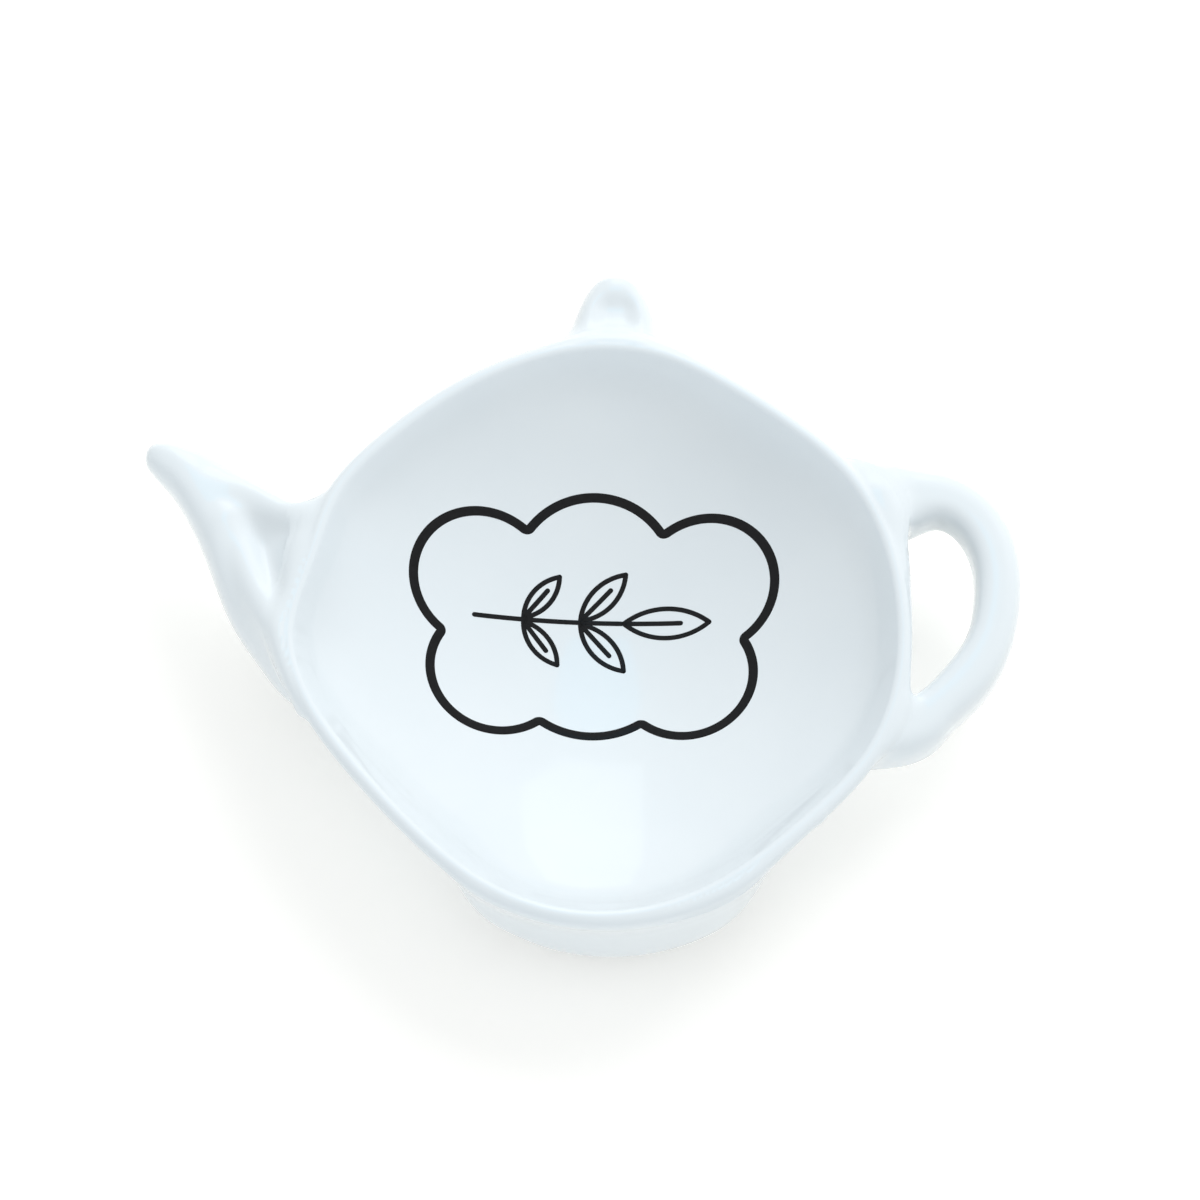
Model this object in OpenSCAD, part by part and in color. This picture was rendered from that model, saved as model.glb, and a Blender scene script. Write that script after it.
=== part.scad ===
// Tea bag rest in the shape of a teapot: a round dish with a spout, a handle, a lid knob
// and a foot set on its rim, and a line print fired on the floor of the well.
// Millimetres. +X to the handle, +Y to the knob, +Z up, origin under the middle of the whole part.

/* [Dish] */
// Diameter of the dish over its lip
dish_d = 82.8; // [76:0.2:96]
// Height from the table to the crest of the lip
dish_h = 19; // [17:0.5:22]
// Thickness of the porcelain, in the wall and in the floor
wall = 2.7; // [2.4:0.1:3.4]
// How far the rounded lip swells beyond the wall on either side
lip_swell = 0.1; // [0.08:0.02:0.3]
// Inside radius of the bend between floor and wall
bend_r = 15; // [12:0.5:17.5]
// Inside radius of the shallow sweep over the floor
sweep_r = 84; // [78:1:96]
// Slope of the wall above the bend, in degrees
wall_slope = 56; // [53:1:60]

/* [Foot ring] */
// Height of the foot ring under the dish
ring_h = 1.5; // [1:0.1:2.5]
// Width of the foot ring
ring_w = 3.4; // [2.4:0.1:5]
// Radius of the foot ring's rounded lower edges
ring_round = 0.5; // [0.3:0.1:0.8]

/* [Spout] */
// How far the spout's tip stands out from the lip
spout_out = 22.1; // [16:0.1:26]
// Height of the tip's upper edge above the middle of the dish, in plan
spout_rise = 26.8; // [22:0.1:30]
// Depth of the root's lower edge below the middle of the dish, in plan
spout_drop = 10; // [8:0.5:13]
// Thickness of the spout at its root
spout_t = 9.5; // [8:0.5:10.5]
// Depth of the hollow beside the spout's ridge
spout_hollow = 2.6; // [1:0.2:3.4]

/* [Handle] */
// How far the handle stands out from the lip
handle_out = 16.5; // [13:0.1:20]
// Height of the handle's loop from its upper to its lower edge, in plan
handle_h = 44; // [38:0.5:48]
// Width of the handle's band
handle_w = 6.5; // [5.5:0.1:8]
// Thickness of the handle's band
handle_t = 8.2; // [7:0.2:9.2]

/* [Lid knob] */
// How far the knob stands out from the lip
knob_out = 13.3; // [9:0.1:15]
// Width of the knob at its neck
knob_w = 14; // [11:0.5:17]
// How far the knob sits off the dish's middle, on the handle's side
knob_side = 0.9; // [0:0.1:2]
// Thickness of the knob
knob_t = 8; // [7:0.2:9.2]
// Depth of the hollow in the knob's upper face
knob_hollow = 1.8; // [0.8:0.2:2.4]

/* [Foot] */
// How far the teapot's foot stands out from the lip
foot_out = 3.1; // [1.2:0.1:3.6]
// Width of the teapot's foot
foot_w = 47.5; // [38:0.5:54]
// Depth of the foot from its face to its root on the dish
foot_d = 18; // [16:0.5:20]
// Height of the lower edge of the foot above the table
foot_lift = 2.4; // [2:0.1:4]

/* [Print] */
// Width of the printed frame
print_w = 51.4; // [40:0.2:52]
// Height of the printed frame
print_h = 36.6; // [28:0.2:37]
// How far the middle of the print lies above the middle of the dish, in plan
print_rise = 6.9; // [0:0.1:8]
// How far the print's middle lies from the well's middle towards the spout
print_side = 0.9; // [0:0.1:2]
// Width of the printed lines of the frame
frame_line = 1.3; // [0.8:0.1:1.8]
// Width of the printed lines of the sprig
sprig_line = 0.7; // [0.5:0.1:1]
// Length of the sprig
sprig_l = 33; // [24:1:36]
// Thickness of the fired print
print_t = 0.12; // [0.1:0.02:0.2]

/* [Hidden] */
$fn = 96;
glaze = [0.95, 0.97, 0.98];
bisque = [0.9, 0.88, 0.84];
ink = [0.08, 0.08, 0.09];

// The dish's section: radii and levels of its middle surface
rim_r = dish_d / 2;
lip_r = wall / 2 + lip_swell;
lip_x = rim_r - lip_r;
lip_z = dish_h - lip_r;
floor_z = ring_h + wall;
mid_z = ring_h + wall / 2;
mid_bend = bend_r + wall / 2;
bend_rise = mid_bend * (1 - cos(wall_slope));
bend_z = floor_z + bend_r;
floor_r = lip_x - mid_bend * sin(wall_slope) - (lip_z - mid_z - bend_rise) / tan(wall_slope);
over = wall;
SWEEP_STEPS = 240;

// The middle of the well, which lies off the middle of the whole part
well_x = (spout_out - handle_out) / 2;
well_y = (foot_out - knob_out) / 2;

// The oval section that the spout, the handle, the knob and the foot share
SIDES = 24;
SQUARE = 2.3;
CAP_STEPS = 5;
NO_SCOOP = [0, 0, 1, 0, 1];

// A smooth curve through rows of numbers, at u from 0 to the number of rows less one
function row_at(rows, i) =
    i < 0 ? 2 * rows[0] - rows[1]
    : i >= len(rows) ? 2 * rows[len(rows) - 1] - rows[len(rows) - 2]
    : rows[i];
function curve(rows, u) =
    let (i = min(floor(u), len(rows) - 2), t = u - i,
         a = row_at(rows, i - 1), b = row_at(rows, i), c = row_at(rows, i + 1), d = row_at(rows, i + 2))
    (2 * b + (c - a) * t + (2 * a - 5 * b + 4 * c - d) * t * t + (3 * b - a - 3 * c + d) * t * t * t) / 2;
function heading(rows, u, facing) =
    facing != undef ? [cos(facing), sin(facing)] :
    let (e = 1 / 50, p = curve(rows, max(u - e, 0)), q = curve(rows, min(u + e, len(rows) - 1)),
         d = [q[0] - p[0], q[1] - p[1]])
    d / norm(d);

// A swell that is one in the middle of a stretch and falls to nothing at its ends
function swell(x, from, to) =
    x <= from || x >= to ? 0 : pow(sin(180 * (x - from) / (to - from)), 2);
function power(x, e) = sign(x) * pow(abs(x), e);

// One oval ring: its row holds x, y, width to the left, width to the right, low and high level.
// The scoop lowers the upper face by a depth, over a stretch of the way and one of the width.
function ring(row, dir, scale, forward, scoop, u) =
    let (side = [-dir[1], dir[0]], mid = (row[4] + row[5]) / 2, half = (row[5] - row[4]) / 2)
    [for (j = [0:SIDES - 1])
        let (q = 360 * j / SIDES, c = power(cos(q), 2 / SQUARE), s = power(sin(q), 2 / SQUARE),
             w = (c > 0 ? row[2] : row[3]) * c * scale,
             dip = s > 0 ? scoop[0] * swell(u, scoop[1], scoop[2]) * swell(c, scoop[3], scoop[4]) * s : 0)
        [row[0] + dir[0] * forward + side[0] * w, row[1] + dir[1] * forward + side[1] * w,
         mid + half * s * scale - dip]];

// A bar that follows the rows, with flat ends, or with its far end rounded off over a length.
// Its sections stand square to its way, or all face one direction given in degrees.
module bar(rows, per_row, cap, scoop, facing) {
    last = len(rows) - 1;
    count = last * per_row;
    dir = heading(rows, last, facing);
    body = [for (i = [0:count]) let (u = i / per_row)
        ring(curve(rows, u), heading(rows, u, facing), 1, 0, scoop, u / last)];
    nose = cap == 0 ? [] :
        [for (k = [1:CAP_STEPS - 1]) let (q = 90 * k / CAP_STEPS)
            ring(rows[last], dir, cos(q), cap * sin(q), scoop, 1)];
    rings = concat(body, nose);
    points = [for (r = rings) each r];
    n = len(rings);
    tip = cap == 0 ? [] : [[rows[last][0] + dir[0] * cap, rows[last][1] + dir[1] * cap,
        (rows[last][4] + rows[last][5]) / 2]];
    walls = [for (i = [0:n - 2], j = [0:SIDES - 1])
        let (a = i * SIDES + j, b = i * SIDES + (j + 1) % SIDES)
        each [[a, b + SIDES, b], [a, a + SIDES, b + SIDES]]];
    near = [for (j = [0:SIDES - 1]) j];
    far = cap == 0 ? [[for (j = [SIDES - 1:-1:0]) (n - 1) * SIDES + j]] :
        [for (j = [0:SIDES - 1]) [(n - 1) * SIDES + (j + 1) % SIDES, (n - 1) * SIDES + j, n * SIDES]];
    polyhedron(concat(points, tip), concat([near], walls, far));
}

// A point moved square to the wall, out to the surface that lies a distance outside the well
function on_wall(at, grow) = at + (grow - wall / 2) * [sin(wall_slope), -cos(wall_slope)];

// The space from the axis out to that surface: flat floor, round bend and sloping wall
module well_section(grow, top) {
    bend_end = [floor_r + mid_bend * sin(wall_slope), mid_z + bend_rise];
    lip = [lip_x, lip_z];
    inner = on_wall(lip, 0);
    polygon([[0, floor_z - grow], [floor_r, floor_z - grow], on_wall(bend_end, grow), on_wall(lip, grow),
             inner, [inner[0], top], [0, top]]);
    translate([floor_r, bend_z]) intersection() {
        circle(bend_r + grow);
        translate([0, -bend_r - grow]) square(bend_r + grow);
    }
}

// The open space inside the dish: a shallow sweep that bends up into the sloping wall, drawn in by an inset
module bowl_section(inset, top) {
    inner = on_wall([lip_x, lip_z], 0);
    high = dish_h + rim_r;
    low_x = inner[0] - (inner[1] - floor_z) / tan(wall_slope);
    high_x = inner[0] + (high - inner[1]) / tan(wall_slope);
    intersection() {
        square([inner[0], top]);
        offset(r = bend_r - inset) offset(delta = -bend_r) intersection() {
            polygon([[-low_x, floor_z], [low_x, floor_z], [high_x, high], [-high_x, high]]);
            translate([0, floor_z + sweep_r]) circle(sweep_r, $fn = SWEEP_STEPS);
        }
    }
}

// The dish's floor, bend and wall in section, with the round lip on top
module dish_section() {
    difference() {
        well_section(wall, lip_z);
        bowl_section(0, dish_h + over);
    }
    translate([lip_x, lip_z]) circle(lip_r);
}

// The dish and all that lies above its well, as the mould for every seat on its outer wall
module dish_mould() {
    rotate_extrude() {
        well_section(wall, lip_z);
        translate([lip_x, lip_z]) circle(lip_r);
        translate([0, lip_z - over]) square([lip_x, lip_r + 2 * over]);
    }
}

module on_well() {
    translate([well_x, well_y, 0]) children();
}

// The round dish: floor, bend, sloping wall and rounded lip in one turn
module dish() {
    color(glaze) on_well() rotate_extrude() dish_section();
}

// The unglazed ring that the dish stands on, with its lower edges rounded
module foot_ring() {
    out = floor_r;
    in = floor_r - ring_w;
    color(bisque) on_well() rotate_extrude() {
        translate([in, ring_round]) square([ring_w, ring_h - ring_round]);
        translate([in + ring_round, 0]) square([ring_w - 2 * ring_round, ring_h]);
        for (x = [in + ring_round, out - ring_round]) translate([x, ring_round]) circle(ring_round);
    }
}

// Rows of shares: way out, upper edge and lower edge in plan, low and high level
spout_shares = [
    [-0.60, 0.74, 0.02, 1.00, 0.10],
    [-0.02, 0.79, -0.03, 1.00, 0.06],
    [0.24, 0.83, 0.16, 0.98, 0.02],
    [0.44, 0.90, 0.335, 0.93, 0.00],
    [0.59, 0.96, 0.54, 0.84, 0.00],
    [0.73, 0.99, 0.705, 0.72, 0.00],
    [0.86, 1.00, 0.80, 0.62, 0.01],
    [0.96, 0.99, 0.88, 0.53, 0.06]];

// The hollow's stretch of the spout's way, and of its half width
spout_scoop_share = [-0.06, 0.49, -1.1, 0.45];

// The spout: a horn that sweeps up from its broad root, with a hollow between its ridge and the lip
module spout() {
    top = dish_h - lip_r;
    span = spout_rise + spout_drop;
    rows = [for (s = spout_shares) let (half = span * (s[1] - s[2]) / 2)
        [-rim_r - spout_out * s[0], span * (s[1] + s[2]) / 2 - spout_drop, half, half,
         top - spout_t * s[3], top - spout_t * s[4]]];
    cap = spout_out * (1 - spout_shares[len(spout_shares) - 1][0]);
    color(glaze) on_well() difference() {
        bar(rows, 3, cap, concat(spout_hollow, spout_scoop_share), 180);
        dish_mould();
    }
}

// Rows of shares: way out, rise, width to the outside, width to the hole, low and high level
handle_shares = [
    [-0.95, 0.42, 0.95, 1.00, 0.92, 0.12],
    [-0.26, 0.462, 0.98, 1.16, 0.96, 0.06],
    [0.06, 0.476, 0.78, 0.76, 1.00, 0.00],
    [0.36, 0.470, 0.62, 0.50, 1.00, 0.00],
    [0.64, 0.400, 0.56, 0.49, 1.00, 0.00],
    [0.79, 0.274, 0.51, 0.49, 1.00, 0.00],
    [0.80, 0.130, 0.48, 0.50, 1.00, 0.00],
    [0.71, -0.014, 0.50, 0.48, 1.00, 0.00],
    [0.52, -0.141, 0.50, 0.48, 1.00, 0.00],
    [0.26, -0.243, 0.49, 0.51, 1.00, 0.00],
    [-0.04, -0.318, 0.55, 0.90, 0.96, 0.04],
    [-0.80, -0.400, 0.64, 1.00, 0.92, 0.12]];

// The handle: a loop of oval band that flares where it joins the dish at either end
module handle() {
    top = dish_h - lip_r;
    rows = [for (s = handle_shares)
        [rim_r + handle_out * s[0], handle_h * s[1], handle_w * s[2], handle_w * s[3],
         top - handle_t * s[4], top - handle_t * s[5]]];
    color(glaze) on_well() difference() {
        bar(rows, 3, 0, NO_SCOOP);
        dish_mould();
    }
}

// Rows of shares: way out, half width, low and high level
knob_shares = [
    [-0.62, 0.86, 0.96, 0.10],
    [-0.06, 0.83, 1.00, 0.06],
    [0.10, 0.66, 1.00, 0.00],
    [0.27, 0.53, 1.00, 0.00],
    [0.46, 0.42, 0.98, 0.00],
    [0.69, 0.325, 0.94, 0.04]];

// The hollow's stretch of the knob's way, and of its half width
knob_scoop_share = [0.08, 0.94, -0.75, 0.75];

// The lid knob: a rounded stub that narrows to its tip, with a shallow hollow in its upper face
module lid_knob() {
    top = dish_h - lip_r;
    rows = [for (s = knob_shares)
        [knob_side, rim_r + knob_out * s[0], knob_w * s[1], knob_w * s[1], top - knob_t * s[2], top - knob_t * s[3]]];
    cap = knob_out * (1 - knob_shares[len(knob_shares) - 1][0]);
    color(glaze) on_well() difference() {
        bar(rows, 3, cap, concat(knob_hollow, knob_scoop_share));
        dish_mould();
    }
}

// Rows of shares of one half: place across the foot, way in from its face, depth of its body, lower level
foot_shares = [
    [0.00, 0.00, 1.00, 0.00],
    [0.26, 0.02, 1.00, 0.02],
    [0.48, 0.08, 0.97, 0.06],
    [0.66, 0.21, 0.90, 0.16],
    [0.80, 0.39, 0.80, 0.32],
    [0.92, 0.58, 0.66, 0.54],
    [1.04, 0.78, 0.50, 0.78]];

// The teapot's foot: a steep lobe under the lip, rounded over at the crest and at its lower edge
module foot_lobe() {
    top = dish_h - lip_r / 2;
    ends = len(foot_shares) - 1;
    rows = [for (i = [-ends:ends]) let (s = foot_shares[abs(i)], half = foot_d * s[2] / 2)
        [sign(i) * foot_w * s[0] / 2, -rim_r - foot_out + foot_d * s[1] + half, half, half,
         mix(foot_lift, top, s[3]), top]];
    color(glaze) on_well() difference() {
        bar(rows, 2, 0, NO_SCOOP, 0);
        dish_mould();
    }
}
function mix(a, b, t) = a + (b - a) * t;

// A thin skin on the inside of the well, as thick as the fired print
module print_skin() {
    rotate_extrude() intersection() {
        difference() {
            bowl_section(0, dish_h);
            bowl_section(print_t, dish_h);
        }
        square([lip_x, lip_z]);
    }
}

// Lobes of the printed frame as shares of its width and height: x, y and radius, from top to bottom
lobe_shares = [[0, 0.177, 0.231], [0.303, 0.141, 0.198], [0.253, -0.217, 0.194], [0, -0.137, 0.252]];

module lobes(inset) {
    for (side = [-1, 1]) {
        for (s = lobe_shares)
            translate([side * print_w * s[0], print_h * s[1]]) circle(print_w * s[2] - inset);
        polygon([for (s = lobe_shares) [side * print_w * s[0], print_h * s[1]]]);
    }
}

// The printed frame: one line round six lobes, fired on the sweep of the bowl
module print_frame() {
    color(ink) on_well() intersection() {
        print_skin();
        translate([-print_side, print_rise, ring_h]) linear_extrude(dish_h) difference() {
            lobes(0);
            lobes(frame_line);
        }
    }
}

// A leaf in outline with its midrib, from its stalk at the origin along +X
module leaf(len, fat, line) {
    r = (len * len / 4 + fat * fat) / (2 * fat);
    difference() {
        intersection_for(side = [-1, 1]) translate([len / 2, side * (r - fat)]) circle(r);
        intersection_for(side = [-1, 1]) translate([len / 2, side * (r - fat)]) circle(r - line);
    }
    translate([0, -line / 2]) square([len * 2 / 3, line]);
}

// Leaves of the sprig as shares of its length: place on the stem, turn in degrees, length
leaf_shares = [[0.62, 0, 0.38], [0.44, 48, 0.30], [0.44, -48, 0.30], [0.20, 52, 0.26], [0.20, -52, 0.26]];

// The printed sprig: a straight stem with a leaf at its end and two pairs of leaves
module print_sprig() {
    color(ink) on_well() intersection() {
        print_skin();
        translate([-print_side - sprig_l / 2, print_rise, ring_h]) linear_extrude(dish_h) {
            translate([0, -sprig_line / 2]) square([sprig_l * leaf_shares[0][0] + sprig_line, sprig_line]);
            for (s = leaf_shares)
                translate([sprig_l * s[0], 0]) rotate(s[1])
                    leaf(sprig_l * s[2], sprig_l * s[2] / 5, sprig_line);
        }
    }
}

dish();
foot_ring();
spout();
handle();
lid_knob();
foot_lobe();
print_frame();
print_sprig();
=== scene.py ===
"""Tea bag rest: one glazed porcelain surface round the CAD frame, split into its named pieces.

The shapes are written in millimetres round the dish's axis. make() brings them into the CAD's
frame.
"""

import math

import bpy
import numpy as np
from mathutils import Matrix, Vector


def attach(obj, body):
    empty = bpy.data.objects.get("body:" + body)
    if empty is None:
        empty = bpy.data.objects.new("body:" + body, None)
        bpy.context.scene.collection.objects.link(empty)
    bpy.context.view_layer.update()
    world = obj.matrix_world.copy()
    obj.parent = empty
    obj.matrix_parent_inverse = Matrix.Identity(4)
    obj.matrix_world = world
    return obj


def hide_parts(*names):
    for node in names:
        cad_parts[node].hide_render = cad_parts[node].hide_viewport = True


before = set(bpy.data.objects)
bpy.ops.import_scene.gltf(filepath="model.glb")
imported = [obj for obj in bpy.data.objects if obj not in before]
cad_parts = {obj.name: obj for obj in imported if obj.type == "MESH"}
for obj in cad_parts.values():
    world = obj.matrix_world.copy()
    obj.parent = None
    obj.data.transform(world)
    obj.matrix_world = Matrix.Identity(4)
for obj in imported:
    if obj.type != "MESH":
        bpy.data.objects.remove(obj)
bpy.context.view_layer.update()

MM = 0.001
# A distance beyond everything, and small amounts that keep a division or a comparison safe
FAR, TINY, TINIEST = 99.0, 1e-6, 1e-9

# The dish as in the CAD source: outer radius of the lip, wall, height, foot ring, and where the
# axis stands
RIM = 41.4
WALL = 2.7
HEIGHT = 19.0
RING_H, RING_W, RING_R = 1.5, 3.4, 21.3
WELL = np.array([2.8, -5.1, 0.0])
# The lip's round edge is a little slimmer than the wall
SWELL = -0.2
LIP_R = WALL / 2 + SWELL
LIP_X, LIP_Z = RIM - LIP_R, HEIGHT - LIP_R


class Sweep:
    """A bowl's section: flat floor, arcs that steepen outwards, a straight wall up to the lip."""

    def __init__(self, arcs, floor, top):
        self.floor, self.arcs, self.slope = floor, [], math.radians(arcs[-1][1])
        x, z, turn = 0.0, floor, 0.0
        for radius, slope in arcs:
            end = math.radians(slope)
            cx, cz = x - radius * math.sin(turn), z + radius * math.cos(turn)
            self.arcs.append((radius, turn, end, cx, cz))
            x, z, turn = cx + radius * math.sin(end), cz - radius * math.cos(end), end
        self.flat = top[0] - x - (top[1] - z) / math.tan(self.slope)
        self.arcs = [(radius, a0, a1, cx + self.flat, cz) for radius, a0, a1, cx, cz in self.arcs]
        self.top = top

    def inside(self, r, z):
        """How far a point lies under or outside the section: negative in the open bowl."""
        n = (math.sin(self.slope), -math.cos(self.slope))
        d = np.maximum((r - self.top[0]) * n[0] + (z - self.top[1]) * n[1], self.floor - z)
        for radius, a0, a1, cx, cz in self.arcs:
            ang = np.arctan2(r - cx, cz - z)
            d = np.where((ang >= a0) & (ang <= a1), np.hypot(r - cx, z - cz) - radius, d)
        return d


def wall_top(slope, grow):
    """Where a wall of a slope leaves the lip, on a surface at a distance from the lip's middle."""
    a = math.radians(slope)
    return LIP_X + grow * math.sin(a), LIP_Z - grow * math.cos(a)


# The outer surface bends like the CAD dish, the inner one is a rounder bowl. Each arc is a radius
# and the slope in degrees where it ends.
OUTER_SLOPE, INNER_SLOPE = 56.0, 52.0
OUTER = Sweep([(17.7, OUTER_SLOPE)], RING_H, wall_top(OUTER_SLOPE, LIP_R))
INNER = Sweep([(76.0, 16.0), (60.0, 24.0), (28.0, 38.0), (16.0, INNER_SLOPE)], RING_H + WALL,
              wall_top(INNER_SLOPE, -LIP_R))
# The way up the wall, halfway between the two slopes
WALL_ANGLE = math.radians((OUTER_SLOPE + INNER_SLOPE) / 2)
WALL_UP = (math.cos(WALL_ANGLE), math.sin(WALL_ANGLE))


class Spline:
    """A natural cubic through a few given points: smooth in value, slope and bend."""

    def __init__(self, xs, ys):
        self.x, self.y = np.asarray(xs, float), np.asarray(ys, float)
        n, h = len(self.x), np.diff(self.x)
        a, b = np.eye(n), np.zeros(n)
        for i in range(1, n - 1):
            a[i, i - 1: i + 2] = h[i - 1], 2 * (h[i - 1] + h[i]), h[i]
            b[i] = 6 * ((self.y[i + 1] - self.y[i]) / h[i] - (self.y[i] - self.y[i - 1]) / h[i - 1])
        self.m, self.h = np.linalg.solve(a, b), h

    def __call__(self, x, order=0):
        """The value, or the slope for order 1."""
        x = np.clip(x, self.x[0], self.x[-1])
        i = np.clip(np.searchsorted(self.x, x) - 1, 0, len(self.h) - 1)
        h, m0, m1 = self.h[i], self.m[i], self.m[i + 1]
        s, t = self.x[i + 1] - x, x - self.x[i]
        c0, c1 = self.y[i] / h - m0 * h / 6, self.y[i + 1] / h - m1 * h / 6
        if order == 1:
            return (m1 * t ** 2 - m0 * s ** 2) / (2 * h) + c1 - c0
        return (m0 * s ** 3 + m1 * t ** 3) / (6 * h) + c0 * s + c1 * t


def ramp(x, a, b):
    """0 at a, 1 at b, with level ends."""
    t = np.clip((x - a) / (b - a), 0, 1)
    return t * t * t * (t * (6 * t - 15) + 10)


def hill(x, rise, fall):
    """Climbs from 0 to 1 over the first span and falls back over the second one."""
    return ramp(x, *rise) * (1 - ramp(x, *fall))


def join(a, b, k):
    """The union of two fields, with a fillet as deep as k."""
    h = np.clip(0.5 + 0.5 * (b - a) / k, 0, 1)
    return b + (a - b) * h - k * h * (1 - h)


def oval(w, half_w, v, half_v, power, slope=0.0, end=0.0):
    """About how many millimetres a point lies outside an oval. A higher power is squarer."""
    a, b = np.abs(w) / half_w + TINY, np.abs(v) / half_v + TINY
    n = (a ** power + b ** power + end ** power) ** (1 / power)
    ga, gb = (a / n) ** (power - 1) / half_w, (b / n) ** (power - 1) / half_v
    return (n - 1) / np.sqrt(ga ** 2 * (1 + slope ** 2) + gb ** 2)


# How far the lip stands outside its circle, round the dish: degrees and millimetres
CREST = [(-176, 2.2), (-168, 1.8), (-154, -0.1), (-140, -1.3), (-128, -1.0), (-114, 0.6),
         (-98, 2.2), (-84, 2.4), (-68, 1.4), (-54, 0.2), (-42, 0.0), (-28, 0.9), (-12, 1.3),
         (4, 1.1), (20, 1.2), (34, 0.9), (50, -0.2), (66, 0.2), (80, 1.6), (92, 1.8), (106, 1.0),
         (122, 0.1), (140, 0.2), (154, 0.9), (166, 0.5), (174, 1.1)]
# The radii between which the wandering grows to its full size
WANDER = (29.0, 41.0)
turned = sorted((a + 360 * k, d) for k in (-1, 0, 1) for a, d in CREST)
crest = Spline([math.radians(a) for a, d in turned], [d for a, d in turned])


def even(x, y):
    """The distance from the axis, with the lip's wandering taken out."""
    r = np.hypot(x, y)
    return r - crest(np.arctan2(y, x)) * ramp(r, *WANDER)


def dish_field(x, y, z):
    """The dish alone: the solid between the outer and the inner bowl, with a round lip."""
    r = even(x, y)
    shell = np.maximum(OUTER.inside(r, z), -INNER.inside(r, z))
    shell = np.maximum(shell, (r - LIP_X) * WALL_UP[0] + (z - LIP_Z) * WALL_UP[1])
    return np.minimum(shell, np.hypot(r - LIP_X, z - LIP_Z) - LIP_R)


def well_field(x, y, z):
    """The open space over the dish's floor: negative inside it."""
    return INNER.inside(even(x, y), z)


# A horn's section: its power, the level where it is widest as a share of its height, and its least
# half width and half height
HORN_POWER, WIDEST, THINNEST = 2.4, 0.42, 0.05
# How far short of a horn's last station its tip is cut, and how near to that station its splines
# are read
TIP_CUT, NEAREST = 0.06, 0.02


class Horn:
    """Stations along an axis towards a round tip, as splines in the root of the way still to go."""

    def __init__(self, stations):
        self.tip = stations[-1][0]
        rows = stations[::-1]
        self.s = [math.sqrt(self.tip - row[0]) for row in rows]
        self.rows = [Spline(self.s, [row[i] for row in rows]) for i in range(1, len(rows[0]))]

    def at(self, u):
        """The stations' values at a place along the axis, and their slopes."""
        s = np.sqrt(np.clip(self.tip - u, NEAREST, self.s[-1] ** 2))
        return [row(s) for row in self.rows], [row(s, 1) / (-2 * s) for row in self.rows]

    def body(self, u, w, half, z, low, high, dip, slope):
        """The horn's field: an oval section whose upper face is let in by a dip, cut at the tip."""
        middle = low + (high - low) * WIDEST
        v = z - middle
        half_v = np.where(v > 0, high - dip - middle, middle - low)
        section = oval(w, half, v, np.maximum(half_v, THINNEST), HORN_POWER, slope)
        return np.maximum(section, u - self.tip + TIP_CUT)


# The spout by stations along -X: place, upper edge, lower edge, low level, high level
SPOUT = Horn([(26.0, 13.0, -8.0, 13.0, 18.6), (34.0, 16.2, -10.6, 10.6, 18.8),
              (41.4, 17.4, -10.9, 8.6, 18.7), (46.7, 19.9, -4.8, 8.0, 17.6),
              (51.1, 23.4, 1.9, 8.6, 17.1), (54.4, 25.5, 9.6, 9.5, 17.2),
              (57.5, 26.4, 15.9, 10.6, 17.3), (60.0, 26.9, 19.6, 11.4, 17.1),
              (61.6, 26.9, 21.3, 12.0, 16.8), (62.8, 26.5, 22.6, 12.7, 16.3),
              (63.5, 25.7, 23.6, 13.5, 15.5), (63.7, 24.7, 24.7, 14.4, 14.4)])
# Round bars by stations x, y, z and radius. The ridge leaves the dish's lip and runs up the spout,
# the brow leaves the lip at the saddle and runs along the spout's upper edge, and the web thickens
# the lip between the two roots of the handle.
RIDGE = [(-39.6, -13.2, 16.5, 0.9), (-40.9, -9.8, 16.9, 1.1), (-42.4, -6.0, 17.1, 1.35),
         (-43.9, -2.4, 17.1, 1.5), (-45.6, 1.2, 16.4, 1.8), (-47.6, 5.2, 15.6, 2.1),
         (-49.6, 9.8, 14.9, 2.4), (-51.8, 14.4, 14.4, 2.6)]
BROW = [(-37.2, 16.8, 16.2, 0.9), (-40.0, 15.6, 16.3, 1.2), (-43.2, 16.0, 16.1, 1.5),
        (-46.6, 17.7, 15.6, 1.7), (-50.0, 19.6, 14.8, 1.8), (-53.2, 20.8, 13.9, 1.8)]
WEB = [(38.2, 20.0, 16.6, 1.1), (39.6, 15.0, 16.6, 1.3), (39.9, 9.0, 16.4, 1.3),
       (40.0, 3.0, 16.3, 1.2), (39.9, -3.0, 16.3, 1.2), (39.5, -8.0, 16.4, 1.3),
       (38.4, -13.0, 16.6, 1.1)]
RIDGE_BLEND, BROW_BLEND, WEB_BLEND = 2.2, 2.4, 3.0
BAR_STEP = 0.2


def bar(stations):
    """A smooth line through the stations of a round bar."""
    u = np.arange(len(stations), dtype=float)
    fine = np.arange(0, u[-1] + BAR_STEP / 20, BAR_STEP)
    return np.stack([Spline(u, [row[i] for row in stations])(fine) for i in range(4)], 1)


ridge_line, brow_line, web_line = bar(RIDGE), bar(BROW), bar(WEB)


def tube_field(x, y, z, line):
    """A round bar whose radius changes along its line."""
    best = np.full(np.shape(x), FAR)
    p = (x, y, z)
    for a, b in zip(line[:-1], line[1:]):
        along = b[:3] - a[:3]
        t = sum((p[i] - a[i]) * along[i] for i in range(3)) / (along @ along)
        t = np.clip(t, 0, 1)
        gap = np.sqrt(sum((p[i] - a[i] - along[i] * t) ** 2 for i in range(3)))
        best = np.minimum(best, gap - a[3] - (b[3] - a[3]) * t)
    return best


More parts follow.
